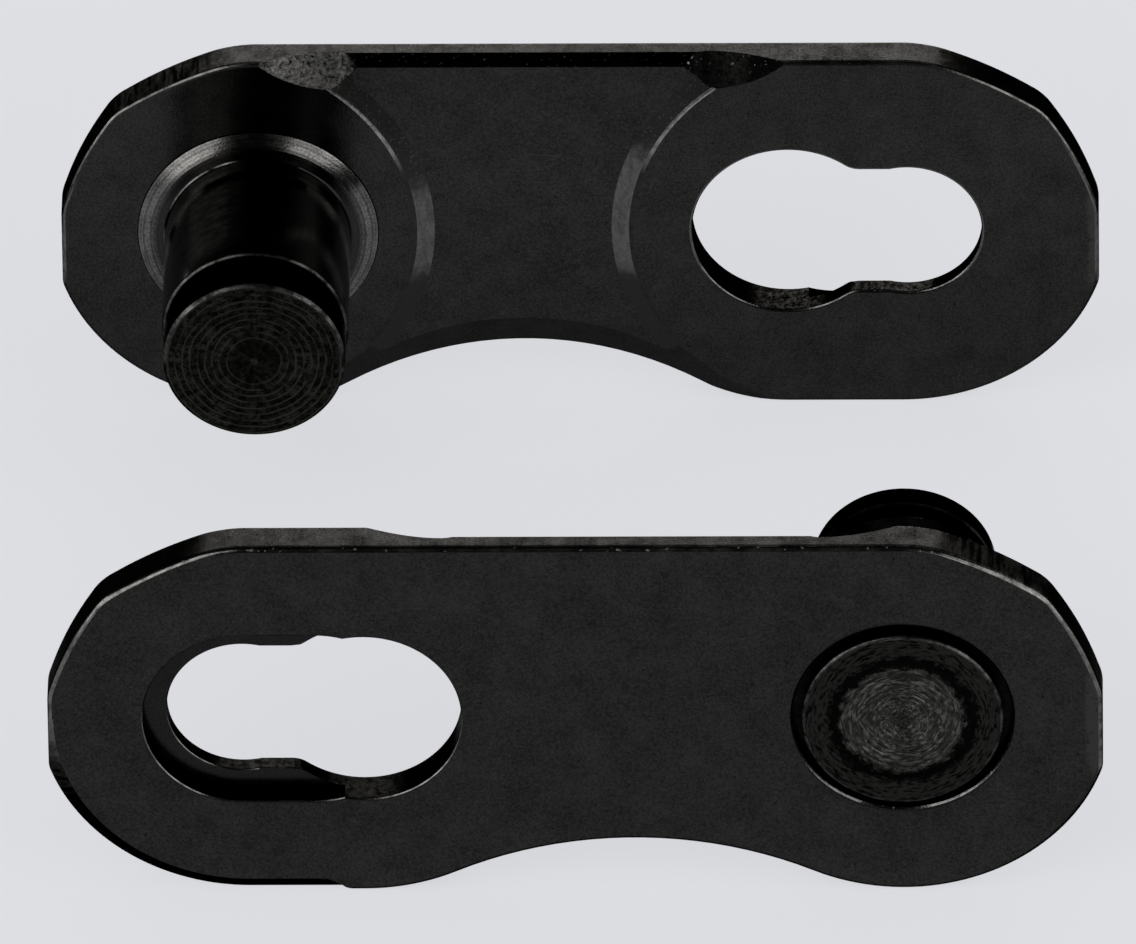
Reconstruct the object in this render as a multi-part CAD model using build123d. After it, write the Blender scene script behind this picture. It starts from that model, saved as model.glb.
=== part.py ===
from build123d import *
import os
from math import asin, atan2, cos, degrees, radians, sin, sqrt

# A quick-release connecting link for a narrow bicycle chain, in millimetres.
# Two identical halves face each other, each a stamped outer plate with one riveted pin.
# X runs along the chain, Y along the pins and Z up. The origin is on the ground, midway between the halves.
# A half is drawn in a frame of its own first: its pin is centred on x = 0, its slot lies towards +X,
# the centreline is z = 0, the inner face is y = 0 and the outer face y = thickness. The pin points to -Y.

# The chain
pitch = 12.70             # between the two pin seats
lock_travel = 2.33        # a pin slides this far from the entry hole to its seat
shoulder_height = 3.45    # from a plate's inner face to its pin's shoulder
halves_apart = 15.98      # between the two inner faces as the halves stand

# The plate's outline
thickness = 0.78
lobe_radius = 4.04
waist_depth = 2.86        # the waist's highest point below the centreline
slot_lobe_short = 0.10    # the slot's lobe is centred this far short of the seat
top_trim = 0.08           # the straight top edge lies this far inside the lobes' circles
end_trim = 0.19           # and so does the flat at each end
corner_trim = 0.11        # and the corner between the two facets above it
corner_angle = 44.6
end_flat_top = 0.53
shoulder_out = 0.45       # where the straight top edge ends, out from the lobe's centre
facet_bulge = 0.11

# The pin
shaft_radius = 1.82
shoulder_bevel = 0.10
root_fillet = 0.10
neck_radius = 1.40
neck_fillet = 0.08
head_radius = 1.78
head_rim = 0.44
tip_bevel_out = 0.18
tip_bevel_length = 0.13
centre_mark_radius = 0.12
centre_mark_depth = 0.05
flange_radius = 2.27
flange_top_radius = 1.95
flange_rise = 0.12        # the flange's top above the inner face
flange_sink = 0.02        # the flange's rim below the inner face
shank_radius = 1.45
rivet_radius = 1.95
rivet_proud = 0.10        # the rivet's face beyond the plate's outer face
rivet_round = 0.10
rivet_ring_out = 1.47
rivet_ring_in = 1.30
rivet_ring_depth = 0.07

# Seats and clearances
ledge_thickness = 0.38    # plate left under the pocket for the head
neck_clearance = 0.10     # along the neck, between ledge and head
seat_clearance = 0.06     # round the neck in its seat
throat_clearance = 0.02   # beside the neck in the throat
entry_clearance = 0.10    # round the head in the entry hole
pocket_clearance = 0.14   # round the head in its pocket
pocket_run = 1.40         # the pocket's length from the seat towards the entry hole
flange_clearance = 0.095
flange_pocket_depth = 0.12
rivet_clearance = 0.17
rivet_pocket_depth = 0.30

# Coined relief on the inner face
panel_depth = 0.12
ridge_radius = 4.22
ridge_apex = 2.11         # from the plate's middle to each ridge
step_width = 0.38
bevel_drop = 0.18         # height of the bevel along the top edge
bevel_depth = 0.38        # how far it cuts into the thickness
runout_start = 3.64       # from the plate's middle to where each run-out begins
runout_drop = 0.62        # the run-out's lower edge below the top edge
runout_radius = 2.27
runout_slope = 1.48       # in the plate's plane, for each millimetre of depth
waist_bevel_radius = 7.00
waist_bevel_width = 0.84
waist_bevel_half = 4.00
waist_bevel_slope = 2.00  # in the plate's plane, for each millimetre of depth

# Chamfer round the lower outer quarter of the slot's lobe, on the outer face
quarter_width = 0.30
quarter_depth = 0.21
quarter_end = 2.12        # from the seat, along the bottom edge
quarter_ramp = 0.63

# Sizes that follow
entry_x = pitch - lock_travel
lobe_x = pitch - slot_lobe_short
middle_x = entry_x / 2
waist_radius = (middle_x**2 + waist_depth**2 - lobe_radius**2) / (2 * (lobe_radius - waist_depth))
waist_drop = waist_depth + waist_radius
top_height = lobe_radius - top_trim
end_reach = lobe_radius - end_trim
corner_radius = lobe_radius - corner_trim
head_start = shoulder_height + ledge_thickness + neck_clearance
head_end = head_start + head_rim + tip_bevel_length
seat_radius = neck_radius + seat_clearance
throat_half = neck_radius + throat_clearance
entry_radius = head_radius + entry_clearance
pocket_radius = head_radius + pocket_clearance
rivet_face = thickness + rivet_proud
past = 1.0                # how far cutters run past the faces that they cut


def drum(x, z, start, end, radius, end_radius=None):
    """A cylinder or cone across the plate, centred on (x, z), from depth start to depth end."""
    seat = Pos(x, start, z) * Rot(-90, 0, 0)
    low = (Align.CENTER, Align.CENTER, Align.MIN)
    if end_radius is None:
        return seat * Cylinder(radius, end - start, align=low)
    return seat * Cone(radius, end_radius, end - start, align=low)


def block(x_low, x_high, start, end, z_low, z_high):
    """A box given by its limits."""
    corner = (Align.MIN, Align.MIN, Align.MIN)
    return Pos(x_low, start, z_low) * Box(x_high - x_low, end - start, z_high - z_low, align=corner)


def bar_along(points, x_low, x_high):
    """A bar along X whose section is given as (depth, height) points."""
    section = Plane.YZ.offset(x_low) * make_face(Polyline(*points, close=True))
    return extrude(section, x_high - x_low, dir=(1, 0, 0))


def bar_across(points, start, end):
    """A bar across the plate whose section is given as (x, z) points."""
    section = Plane.XZ.offset(-start) * make_face(Polyline(*points, close=True))
    return extrude(section, end - start, dir=(0, 1, 0))


def arc_about(centre, radius, start_angle, end_angle):
    """An arc about a centre, from one angle to another, in degrees."""
    return CenterArc(centre, radius, start_angle, end_angle - start_angle)


def bulged(start, end, away_from):
    """A shallow arc from start to end that bulges away from a point."""
    middle = (Vector(*start) + Vector(*end)) / 2
    outward = (Vector(*end) - Vector(*start)).rotate(Axis.Z, 90).normalized()
    if outward.dot(middle - Vector(*away_from)) < 0:
        outward = -outward
    return ThreePointArc(start, middle + outward * facet_bulge, end)


def end_facets(centre_x, side):
    """The two shallow facets of a lobe's end, from its flat up to the straight top edge."""
    flat_top = (centre_x + side * end_reach, end_flat_top)
    lift = radians(corner_angle)
    corner = (centre_x + side * corner_radius * cos(lift), corner_radius * sin(lift))
    shoulder = (centre_x + side * shoulder_out, top_height)
    centre = (centre_x, 0)
    return [bulged(flat_top, corner, centre), bulged(corner, shoulder, centre)]


def outline():
    """The plate's outline, a closed face in the XZ plane."""
    flat_low = sqrt(lobe_radius**2 - end_reach**2)
    low_angle = degrees(asin(flat_low / lobe_radius))
    lean = degrees(atan2(middle_x, waist_drop))
    edges = [
        arc_about((0, 0), lobe_radius, 180 + low_angle, 270 + lean),
        arc_about((middle_x, -waist_drop), waist_radius, 90 + lean, 90 - lean),
        arc_about((entry_x, 0), lobe_radius, 270 - lean, 270),
        Line((entry_x, -lobe_radius), (lobe_x, -lobe_radius)),
        arc_about((lobe_x, 0), lobe_radius, 270, 360 - low_angle),
        Line((lobe_x + end_reach, -flat_low), (lobe_x + end_reach, end_flat_top)),
        *end_facets(lobe_x, 1),
        Line((lobe_x + shoulder_out, top_height), (-shoulder_out, top_height)),
        *end_facets(0, -1),
        Line((-end_reach, end_flat_top), (-end_reach, -flat_low)),
    ]
    return Plane.XZ * make_face(edges)


def keyhole():
    """The slot: entry hole, throat and seat, with the pocket for the pin's head round the seat."""
    entry = drum(entry_x, 0, -past, thickness + past, entry_radius)
    seat = drum(pitch, 0, -past, thickness + past, seat_radius)
    throat = block(entry_x, pitch, -past, thickness + past, -throat_half, throat_half)
    pocket_start = pitch - pocket_run
    pocket = drum(pitch, 0, ledge_thickness, thickness + past, pocket_radius)
    pocket += drum(pocket_start, 0, ledge_thickness, thickness + past, pocket_radius)
    pocket += block(pocket_start, pitch, ledge_thickness, thickness + past, -pocket_radius, pocket_radius)
    return entry + seat + throat + pocket


def pin_seat():
    """The hole for the pin's shank, with its pockets for the flange and for the riveted head."""
    shank_hole = drum(0, 0, -past, thickness + past, shank_radius)
    flange_pocket = drum(0, 0, -past, flange_pocket_depth, flange_radius + flange_clearance)
    rivet_floor = thickness - rivet_pocket_depth
    rivet_pocket = drum(0, 0, rivet_floor, thickness + past, rivet_radius + rivet_clearance)
    return shank_hole + flange_pocket + rivet_pocket


def coined_panel():
    """The shallow panel between the lobes, with a sloped step up to the ridge round each lobe."""
    reach = ridge_apex + ridge_radius
    tall = lobe_radius + past
    panel = block(middle_x - reach, middle_x + reach, -past, panel_depth, -tall, tall)
    for x in (middle_x - reach, middle_x + reach):
        panel -= drum(x, 0, 0, panel_depth, ridge_radius, ridge_radius + step_width)
        panel -= drum(x, 0, -past, 0, ridge_radius)
    return panel


def top_bevel():
    """The bevel along the top edge of the panel, with a curved run-out into each lobe."""
    slope = (bevel_depth - panel_depth) / bevel_drop
    low = top_height - bevel_drop
    section = [
        (-past, low),
        (panel_depth, low),
        (bevel_depth + past * slope, top_height + past),
        (-past, top_height + past),
    ]
    bevel = bar_along(section, middle_x - runout_start, middle_x + runout_start)
    runout_z = top_height - runout_drop + runout_radius
    deep_radius = runout_radius - thickness * runout_slope
    for side in (-1, 1):
        start = middle_x + side * runout_start
        end = start + side * runout_radius
        room = block(min(start, end), max(start, end), -past, thickness, 0, runout_z)
        round_cut = drum(start, runout_z, 0, thickness, runout_radius, deep_radius)
        round_cut += drum(start, runout_z, -past, 0, runout_radius)
        bevel += round_cut & room
    return bevel


def waist_bevel():
    """The gentle bevel along the waist, fading out towards both lobes."""
    face_radius = waist_bevel_radius + panel_depth * waist_bevel_slope
    deep_radius = face_radius - thickness * waist_bevel_slope
    centre_z = waist_bevel_width - waist_depth - waist_bevel_radius
    cone = drum(middle_x, centre_z, 0, thickness, face_radius, deep_radius)
    cone += drum(middle_x, centre_z, -past, 0, face_radius)
    deep_half = waist_bevel_half - thickness * waist_bevel_slope
    front_half = waist_bevel_half + past * waist_bevel_slope
    plan = [
        (middle_x - front_half, -past),
        (middle_x + front_half, -past),
        (middle_x + deep_half, thickness),
        (middle_x - deep_half, thickness),
    ]
    room = extrude(make_face(Polyline(*plan, close=True)), -lobe_radius - past, dir=(0, 0, 1))
    return cone & room


def quarter_chamfer():
    """The chamfer on the outer face round the lower outer quarter of the slot's lobe."""
    start = thickness - quarter_depth
    end = thickness + past
    shrink = quarter_width * (quarter_depth + past) / quarter_depth
    low = -lobe_radius - past
    corner = block(lobe_x, lobe_x - low, start, end, low, 0)
    corner -= drum(lobe_x, 0, start, end, lobe_radius, lobe_radius - shrink)
    section = [(start, -lobe_radius), (end, -lobe_radius + shrink), (end, low), (start, low)]
    edge = bar_along(section, pitch - quarter_end, lobe_x)
    ramp_foot = pitch - quarter_end
    ramp_top = -lobe_radius + quarter_width
    ramp = [
        (ramp_foot, low),
        (ramp_foot, -lobe_radius),
        (ramp_foot + quarter_ramp, ramp_top),
        (lobe_x, ramp_top),
        (lobe_x, low),
    ]
    return corner + (edge & bar_across(ramp, start, end))


def plate():
    """One outer plate, in the half's own frame."""
    blank = extrude(outline(), thickness, dir=(0, 1, 0))
    cuts = [keyhole(), pin_seat(), coined_panel(), top_bevel(), waist_bevel(), quarter_chamfer()]
    for cut in cuts:
        blank -= cut
    return blank


def pin():
    """One pin with its flange, neck, head and riveted end, turned about the Y axis."""
    tip = -head_end
    profile = [
        (0, tip + centre_mark_depth),
        (centre_mark_radius, tip),
        (head_radius - tip_bevel_out, tip),
        (head_radius, tip + tip_bevel_length),
        (head_radius, -head_start),
        (neck_radius, -head_start),
        (neck_radius, -shoulder_height),
        (shaft_radius - shoulder_bevel, -shoulder_height),
        (shaft_radius, shoulder_bevel - shoulder_height),
        (shaft_radius, -flange_rise),
        (flange_top_radius, -flange_rise),
        (flange_radius, flange_sink),
        (flange_radius, flange_pocket_depth),
        (shank_radius, flange_pocket_depth),
        (shank_radius, thickness - rivet_pocket_depth),
        (rivet_radius, thickness - rivet_pocket_depth),
        (rivet_radius, rivet_face),
        (rivet_ring_out, rivet_face),
        ((rivet_ring_out + rivet_ring_in) / 2, rivet_face - rivet_ring_depth),
        (rivet_ring_in, rivet_face),
        (centre_mark_radius, rivet_face),
        (0, rivet_face - centre_mark_depth),
    ]
    section = make_face(Polyline(*profile, close=True))
    rounds = [
        (neck_radius, -shoulder_height, neck_fillet),
        (shaft_radius, -flange_rise, root_fillet),
        (rivet_radius, rivet_face, rivet_round),
    ]
    for radius, depth, size in rounds:
        section = fillet(section.vertices().sort_by_distance((radius, depth, 0))[0], size)
    return revolve(section, Axis.Y)


def place_back(solid):
    """Stands a half on its lobes, behind the origin."""
    return Pos(-pitch / 2, halves_apart / 2, lobe_radius) * solid


def place_front(solid):
    """The other half is the same, turned half round about Z."""
    return Rot(0, 0, 180) * place_back(solid)


def write(node, shape):
    """Writes one sub-part to its own file."""
    export_step(shape, f"parts/{node}.step")


os.makedirs("parts", exist_ok=True)
link_plate = plate()
link_pin = pin()
write("back_plate", place_back(link_plate))
write("back_pin", place_back(link_pin))
write("front_plate", place_front(link_plate))
write("front_pin", place_front(link_pin))
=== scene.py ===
import math

import bmesh
import bpy
from mathutils import Matrix, Vector


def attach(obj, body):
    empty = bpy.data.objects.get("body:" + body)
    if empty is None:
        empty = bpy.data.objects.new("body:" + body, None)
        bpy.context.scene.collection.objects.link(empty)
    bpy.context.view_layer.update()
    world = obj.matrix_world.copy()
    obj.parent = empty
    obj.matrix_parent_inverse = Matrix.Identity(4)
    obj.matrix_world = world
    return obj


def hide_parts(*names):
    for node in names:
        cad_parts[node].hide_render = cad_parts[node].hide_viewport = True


# A quick-release link for a narrow bicycle chain: two halves, each a stamped plate with a riveted pin.
# Both pieces are modelled in millimetres in the half's own frame: the pin's centre at x = 0 and z = 0,
# the slot towards +X, the inner face at y = 0 and the pin pointing to -Y. They are shrunk to metres
# and stood in place at the end.

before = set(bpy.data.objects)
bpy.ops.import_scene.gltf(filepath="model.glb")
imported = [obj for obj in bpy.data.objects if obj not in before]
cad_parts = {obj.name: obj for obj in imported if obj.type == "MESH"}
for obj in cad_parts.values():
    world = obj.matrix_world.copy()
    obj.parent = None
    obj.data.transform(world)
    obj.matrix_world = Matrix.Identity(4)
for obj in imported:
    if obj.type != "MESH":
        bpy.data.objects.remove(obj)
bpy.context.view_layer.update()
print("frame loaded:", sorted(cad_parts))

# where the parts stand
layout = {
    "pitch": 12.70,
    "lockTravel": 2.33,
    "halvesApart": 15.98,
    "centreHeight": 4.04,
}
pitch = layout["pitch"]
entryX = pitch - layout["lockTravel"]
middleX = entryX / 2

# Each finish is a dark metal whose colour runs between two shades, from linear 0 to 1. Each piece's
# material slots follow this order.
finishLook = {
    # name: dark shade, light shade, roughness, its spread
    "plateFace": (0.012, 0.042, 0.17, 0.04),
    "shearedEdge": (0.012, 0.480, 0.42, 0.08),
    # the slot's walls get a darker copy of the sheared edge: painted shade inside the slot
    "slotWall": (0.003, 0.330, 0.42, 0.08),
    "wornRim": (0.004, 0.150, 0.20, 0.05),
    # the crest's light shade, towards its top, is a painted highlight along the ridge
    "wornCrest": (0.014, 0.340, 0.22, 0.05),
    "pressedStep": (0.024, 0.112, 0.34, 0.06),
    # a darker copy of the face along the waist's bevel and deep in the slot: painted shade
    "waistBand": (0.008, 0.029, 0.20, 0.04),
    # the pin's hole and the pocket get a darker copy of the coating: painted shade in the recesses
    "holeWall": (0.002, 0.010, 0.30, 0.10),
    "turnedFlange": (0.016, 0.230, 0.16, 0.04),
    "pinBody": (0.012, 0.170, 0.12, 0.04),
    "headSide": (0.006, 0.030, 0.14, 0.04),
    "headRim": (0.006, 0.080, 0.32, 0.08),
    "tipFace": (0.002, 0.024, 0.34, 0.08),
    "rivetFace": (0.002, 0.088, 0.36, 0.08),
    "pittedRunout": (0.001, 0.150, 0.42, 0.10),
}
finishes = list(finishLook)

precision = {
    # in millimetres
    "merge": 0.0005,
    "mergeCuts": 0.004,
    "samePlace": 0.01,
    "samePoint": 0.001,
    "sameDepth": 0.002,
}


def onlyThis(piece):
    bpy.ops.object.select_all(action="DESELECT")
    piece.select_set(True)
    bpy.context.view_layer.objects.active = piece


def selectAll(action="SELECT"):
    bpy.ops.mesh.select_all(action=action)


def weld(distance="merge"):
    # makes one point of those that lie together
    selectAll()
    bpy.ops.mesh.remove_doubles(threshold=precision[distance])


def turnOutwards():
    # turns every face outwards and ends the editing
    selectAll()
    bpy.ops.mesh.normals_make_consistent(inside=False)
    bpy.ops.object.mode_set(mode="OBJECT")


def startPen(name, place):
    # a plane merged to one vertex, which the next moves draw on from
    bpy.ops.mesh.primitive_plane_add(size=0.1, location=place)
    piece = bpy.context.object
    piece.name = name
    bpy.ops.object.transform_apply(location=True)
    bpy.ops.object.mode_set(mode="EDIT")
    selectAll()
    bpy.ops.mesh.merge(type="CENTER")
    bpy.ops.mesh.select_mode(type="VERT")
    selectAll()
    return piece


def penPlace():
    mesh = bmesh.from_edit_mesh(bpy.context.object.data)
    return next(v.co.copy() for v in mesh.verts if v.select)


def lineTo(place):
    step = Vector(place) - penPlace()
    bpy.ops.mesh.extrude_vertices_move(TRANSFORM_OT_translate={"value": step})


def arcRound(centre, turn, fineness=2.5):
    # positive turns run from X towards Z
    steps = max(3, round(abs(turn) / fineness))
    bpy.ops.mesh.spin(steps=steps, angle=math.radians(turn), center=centre, axis=(0, 1, 0))


def bulgeTo(place, bulge):
    # three runs to place, bulging to the right of the way there; their corners are rounded later
    start = penPlace()
    chord = Vector(place) - start
    radius = (chord.length ** 2 / 4 + bulge ** 2) / (2 * bulge)
    across = Vector((-chord.z, 0, chord.x)).normalized()
    centre = start + chord / 2 + across * (radius - bulge)
    turn = 2 * math.degrees(math.asin(chord.length / 2 / radius))
    arcRound(centre, turn, turn / 3)


def roundCorners(test, radius, segments):
    # rounds the corners of a drawn line that pass the test
    weld()
    selectAll("DESELECT")
    drawn = bpy.context.object.data
    for vert in bmesh.from_edit_mesh(drawn).verts:
        if test(vert.co):
            vert.select_set(True)
    bmesh.update_edit_mesh(drawn)
    bpy.ops.mesh.bevel(offset=radius, segments=segments, affect="VERTICES")


def pullOut(step):
    # closes the drawn line with a face and pulls that out into a solid
    weld()
    selectAll()
    bpy.ops.mesh.edge_face_add()
    selectAll()
    bpy.ops.mesh.extrude_region_move(TRANSFORM_OT_translate={"value": step})
    turnOutwards()


def drum(x, z, start, end, radius, endRadius=None, sides=256):
    # a cylinder or cone across the plate
    bpy.ops.mesh.primitive_cone_add(
        vertices=sides,
        radius1=radius,
        radius2=radius if endRadius is None else endRadius,
        depth=end - start,
        location=(x, (start + end) / 2, z),
        rotation=(-math.pi / 2, 0, 0),
    )
    bpy.ops.object.transform_apply(location=True, rotation=True)
    return bpy.context.object


def block(low, high):
    low, high = Vector(low), Vector(high)
    bpy.ops.mesh.primitive_cube_add(size=1, location=(low + high) / 2, scale=high - low)
    bpy.ops.object.transform_apply(location=True, scale=True)
    return bpy.context.object


def trim(piece, place, outward, closed=True):
    # cuts off what lies beyond a plane and closes the cut
    onlyThis(piece)
    bpy.ops.object.mode_set(mode="EDIT")
    selectAll()
    bpy.ops.mesh.bisect(plane_co=place, plane_no=outward, use_fill=closed, clear_outer=True)
    bpy.ops.object.mode_set(mode="OBJECT")


def carve(piece, cutter):
    onlyThis(piece)
    cut = piece.modifiers.new("cut", "BOOLEAN")
    cut.operation = "DIFFERENCE"
    cut.solver = "EXACT"
    cut.object = cutter
    bpy.ops.object.modifier_apply(modifier=cut.name)
    bpy.data.objects.remove(cutter)


def squeeze(piece, x, factor):
    # narrows or widens a piece along X about a place
    onlyThis(piece)
    bpy.ops.transform.resize(value=(factor, 1, 1), center_override=(x, 0, 0))
    bpy.ops.object.transform_apply(location=True, scale=True)


def bevelWhere(piece, test, width, segments, finish=-1):
    # bevels the outside edges whose two ends and face angle pass the test
    onlyThis(piece)
    bpy.ops.object.mode_set(mode="EDIT")
    bpy.ops.mesh.select_mode(type="VERT")
    weld("mergeCuts")
    bpy.ops.mesh.select_mode(type="EDGE")
    selectAll("DESELECT")
    mesh = bmesh.from_edit_mesh(piece.data)
    count = 0
    for edge in mesh.edges:
        if len(edge.link_faces) != 2 or not edge.is_convex:
            continue
        angle = math.degrees(edge.calc_face_angle())
        if test(edge.verts[0].co, edge.verts[1].co, angle):
            edge.select_set(True)
            count += 1
    bmesh.update_edit_mesh(piece.data)
    if count:
        bpy.ops.mesh.bevel(
            offset=width, segments=segments, affect="EDGES", clamp_overlap=False, material=finish,
        )
    bpy.ops.object.mode_set(mode="OBJECT")
    print("  bevelled", count, "edges")


plateSizes = {
    "thickness": 0.78,
    "cutPast": 0.5,       # how far cutters run past the plate's faces
    "lobeRadius": 4.04,
    "waistDepth": 2.86,
    "slotLobeShort": 0.10,
    "topTrim": 0.08,
    "endTrim": 0.19,
    "cornerTrim": 0.11,
    "cornerAngle": 44.6,
    "endFlatTop": 0.53,
    "shoulderOut": 0.45,
    "facetBulge": 0.11,
    "seatRadius": 1.46,
    "throatHalf": 1.42,
    "throatRound": 0.50,
    "throatFineness": 6,
    "entryRadius": 1.88,
    "ledge": 0.38,
    "pocketRadius": 1.92,
    "pocketRun": 1.40,
    "shankHole": 1.45,
    "flangePocket": (2.365, 0.12),
    "rivetPocket": (2.12, 0.30),
    "panelDepth": 0.12,
    "ridgeRadius": 4.22,
    "ridgeApex": 2.11,
    "stepWidth": 0.38,
    "bevelDrop": 0.18,
    "bevelDepth": 0.38,
    "runoutStart": 3.64,
    "runoutDrop": 0.62,
    "runoutRadius": 2.27,
    "runoutSlope": 1.48,
    "runoutTurn": 0.45,   # how much narrower its inner end is
    "waistBevelTall": 2.95,
    "waistBevelHalf": 4.10,
    "waistBevelWidth": 0.74,
    "waistBevelSlope": 2.00,
    "waistBevelSides": 512,
    "quarterWidth": 0.30,
    "quarterDepth": 0.21,
    "quarterEnd": 2.12,
    "quarterRamp": 0.63,
    "dieRoll": 0.13,
    "burrEdge": 0.08,
    "rimEdge": 0.05,
    "pocketEdge": 0.09,
    "crestEdge": 0.04,
    "ledgeEdge": 0.04,
    "rollSegments": 9,
    "edgeSegments": 3,
    "sharpAngle": 60,
    "crestAngle": (10, 22),
    "ledgeEdgeFrom": 11.6,   # nearer the entry hole the ledge is too narrow for it
    # corners of the outline: radius, segments
    "facetRound": (0.38, 5),
    "endRound": (0.15, 4),
    "lowEndRound": (0.075, 3),
    "cornerRound": (0.22, 4),
    "shoulderRound": (0.42, 8),
}


def drawPlate():
    p = plateSizes
    lobe = p["lobeRadius"]
    lobeX = pitch - p["slotLobeShort"]
    waistRadius = (middleX ** 2 + p["waistDepth"] ** 2 - lobe ** 2) / (2 * (lobe - p["waistDepth"]))
    waistDrop = p["waistDepth"] + waistRadius
    top = lobe - p["topTrim"]
    reach = lobe - p["endTrim"]
    flatLow = math.sqrt(lobe ** 2 - reach ** 2)
    lowAngle = math.degrees(math.asin(flatLow / lobe))
    lean = math.degrees(math.atan2(middleX, waistDrop))
    lift = math.radians(p["cornerAngle"])
    cornerOut = (lobe - p["cornerTrim"]) * math.cos(lift)
    cornerUp = (lobe - p["cornerTrim"]) * math.sin(lift)

    plate = startPen("plate", (-reach, 0, -flatLow))
    arcRound((0, 0, 0), 90 - lowAngle + lean)
    arcRound((middleX, 0, -waistDrop), -2 * lean)
    arcRound((entryX, 0, 0), lean)
    lineTo((lobeX, 0, -lobe))
    arcRound((lobeX, 0, 0), 90 - lowAngle)
    lineTo((lobeX + reach, 0, p["endFlatTop"]))
    bulgeTo((lobeX + cornerOut, 0, cornerUp), p["facetBulge"])
    bulgeTo((lobeX + p["shoulderOut"], 0, top), p["facetBulge"])
    lineTo((-p["shoulderOut"], 0, top))
    bulgeTo((-cornerOut, 0, cornerUp), p["facetBulge"])
    bulgeTo((-reach, 0, p["endFlatTop"]), p["facetBulge"])
    lineTo((-reach, 0, -flatLow))

    def near(height):
        return lambda place: abs(place.z - height) < precision["samePlace"]

    def onFacet(place):
        clear = precision["samePlace"]
        between = p["endFlatTop"] + clear < place.z < top - clear
        return between and not near(cornerUp)(place)

    for test, corner in (
        (onFacet, "facetRound"),
        (near(p["endFlatTop"]), "endRound"),
        (near(-flatLow), "lowEndRound"),
        (near(cornerUp), "cornerRound"),
        (near(top), "shoulderRound"),
    ):
        roundCorners(test, *p[corner])
    pullOut((0, p["thickness"], 0))
    return plate


def slotCutter():
    # entry hole, throat and seat in one closed line
    p = plateSizes
    start = -p["cutPast"]
    half = p["throatHalf"]
    turn = p["throatRound"]
    roundUp = half + turn
    roundOut = math.sqrt((p["entryRadius"] + turn) ** 2 - roundUp ** 2)
    lift = math.degrees(math.atan2(roundUp, roundOut))
    seatBack = math.sqrt(p["seatRadius"] ** 2 - half ** 2)
    seatSweep = 360 - 2 * math.degrees(math.atan2(half, seatBack))
    slot = startPen("slotCutter", (entryX + roundOut, start, -half))
    lineTo((pitch - seatBack, start, -half))
    arcRound((pitch, start, 0), seatSweep)
    lineTo((entryX + roundOut, start, half))
    arcRound((entryX + roundOut, start, roundUp), lift - 90, p["throatFineness"])
    arcRound((entryX, start, 0), 360 - 2 * lift)
    arcRound((entryX + roundOut, start, -roundUp), lift - 90, p["throatFineness"])
    pullOut((0, p["thickness"] + 2 * p["cutPast"], 0))
    return slot


def pocketCutter():
    # the longer room for the other pin's head, behind the ledge
    p = plateSizes
    depth = p["ledge"]
    radius = p["pocketRadius"]
    pocket = startPen("pocketCutter", (pitch - p["pocketRun"], depth, -radius))
    lineTo((pitch, depth, -radius))
    arcRound((pitch, depth, 0), 180)
    lineTo((pitch - p["pocketRun"], depth, radius))
    arcRound((pitch - p["pocketRun"], depth, 0), 180)
    pullOut((0, p["thickness"], 0))
    return pocket


def panelCutter():
    p = plateSizes
    out = p["ridgeApex"] + p["ridgeRadius"]
    tall = p["lobeRadius"] + 1
    past = p["cutPast"]
    panel = block((middleX - out, -past, -tall), (middleX + out, p["panelDepth"], tall))
    slope = p["stepWidth"] / p["panelDepth"]
    start, end = -past - 0.1, past - 0.1   # clear of the block's own faces
    radii = [p["ridgeRadius"] + depth * slope for depth in (start, end)]
    for side in (-1, 1):
        carve(panel, drum(middleX + side * out, 0, start, end, *radii))
    return panel


def topBevelCutters():
    p = plateSizes
    top = p["lobeRadius"] - p["topTrim"]
    slope = (p["bevelDepth"] - p["panelDepth"]) / p["bevelDrop"]
    low = top - p["bevelDrop"]
    left, right = middleX - p["runoutStart"], middleX + p["runoutStart"]
    bar = startPen("topBevel", (left, -1, low))
    lineTo((left, p["panelDepth"], low))
    lineTo((left, p["bevelDepth"] + slope, top + 1))
    lineTo((left, -1, top + 1))
    pullOut((right - left, 0, 0))
    cutters = [bar]
    centreZ = top - p["runoutDrop"] + p["runoutRadius"]
    for side in (-1, 1):
        start = middleX + side * p["runoutStart"]
        deep = p["runoutRadius"] - p["thickness"] * p["runoutSlope"]
        shallow = p["runoutRadius"] + p["cutPast"] * p["runoutSlope"]
        for inner in (False, True):
            runout = drum(start, centreZ, -p["cutPast"], p["thickness"], shallow, deep)
            if inner:
                squeeze(runout, start, p["runoutTurn"])
            trim(runout, (start, 0, 0), (side if inner else -side, 0, 0))
            trim(runout, (start, 0, centreZ), (0, 0, 1))
            cutters.append(runout)
    return cutters


def waistBevelCutter():
    # an oval cone, so the bevel turns down into the outline at both ends
    p = plateSizes
    slope = p["waistBevelSlope"]
    tall = p["waistBevelTall"]
    faceTall = tall + p["panelDepth"] * slope
    centreZ = p["waistBevelWidth"] - p["waistDepth"] - tall
    wide, narrow = faceTall + p["cutPast"] * slope, faceTall - p["thickness"] * slope
    cone = drum(middleX, centreZ, -p["cutPast"], p["thickness"], wide, narrow, p["waistBevelSides"])
    squeeze(cone, middleX, p["waistBevelHalf"] / tall)
    return cone


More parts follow.
